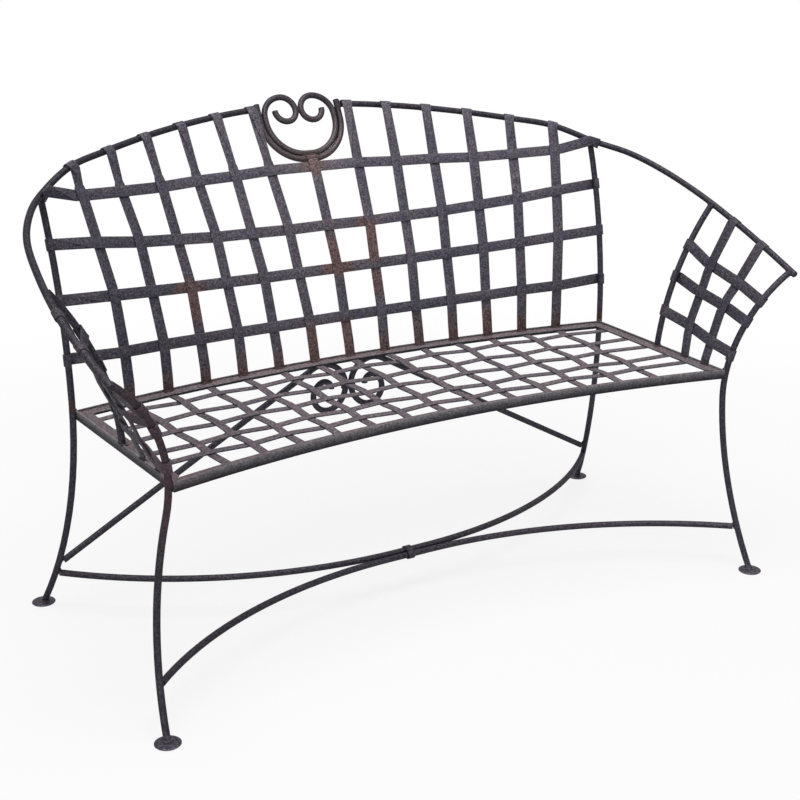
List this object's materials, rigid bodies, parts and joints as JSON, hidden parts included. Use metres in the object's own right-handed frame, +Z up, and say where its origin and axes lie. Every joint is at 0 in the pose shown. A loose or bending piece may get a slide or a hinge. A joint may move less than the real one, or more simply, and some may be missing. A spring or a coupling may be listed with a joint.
{
  "type": "garden bench",
  "caption": "wrought-iron garden bench: curved seat and double-curved back woven from flat strap, flared woven arms, bent-rod legs, curved stretchers, scroll braces and a heart-scroll crest",
  "frame": {"origin": "on the ground under the middle of the bench's overall length and depth", "axes": "+X along the bench, to the right in a front view; the front of the seat faces -Y; +Z is up"},
  "size_m": [1.4582, 0.8037, 0.9486],
  "materials": {
    "rod_iron": "dark slate wrought iron, lightly pitted, soft sheen",
    "strap_iron": "dark brown-grey wrought iron with rust at the crossings",
    "angle_iron": "rusty brown wrought iron, edges rubbed grey"
  },
  "bodies": {
    "root": {"front_rail": "angle_iron", "back_rail": "angle_iron", "front_stretcher": "rod_iron", "back_stretcher": "rod_iron", "stretcher_collar": "rod_iron", "brace_collar": "rod_iron", "crest_loop": "rod_iron", "heart_scroll": "rod_iron", "feet": "rod_iron", "side_rail_right": "angle_iron", "side_rail_left": "angle_iron", "front_leg_right": "rod_iron", "front_leg_left": "rod_iron", "back_leg_right": "rod_iron", "back_leg_left": "rod_iron", "crest_rail_right": "rod_iron", "crest_rail_left": "rod_iron", "arm_post_right": "rod_iron", "arm_post_left": "rod_iron", "arm_slats_right": "strap_iron", "arm_slats_left": "strap_iron", "arm_straps_right": "strap_iron", "arm_straps_left": "strap_iron", "brace_right": "rod_iron", "brace_left": "rod_iron", "back_slat_01": "strap_iron", "back_slat_02": "strap_iron", "back_slat_03": "strap_iron", "back_slat_04": "strap_iron", "back_slat_05": "strap_iron", "back_slat_06": "strap_iron", "back_slat_07": "strap_iron", "back_slat_08": "strap_iron", "back_slat_09": "strap_iron", "back_slat_10": "strap_iron", "back_slat_11": "strap_iron", "back_slat_12": "strap_iron", "back_slat_13": "strap_iron", "back_strap_1": "strap_iron", "back_strap_2": "strap_iron", "back_strap_3": "strap_iron", "back_strap_4": "strap_iron", "seat_slat_01": "strap_iron", "seat_slat_02": "strap_iron", "seat_slat_03": "strap_iron", "seat_slat_04": "strap_iron", "seat_slat_05": "strap_iron", "seat_slat_06": "strap_iron", "seat_slat_07": "strap_iron", "seat_slat_08": "strap_iron", "seat_slat_09": "strap_iron", "seat_slat_10": "strap_iron", "seat_slat_11": "strap_iron", "seat_slat_12": "strap_iron", "seat_slat_13": "strap_iron", "seat_strap_1": "strap_iron", "seat_strap_2": "strap_iron", "seat_strap_3": "strap_iron", "seat_strap_4": "strap_iron", "seat_strap_5": "strap_iron"}
  },
  "joints": []
}
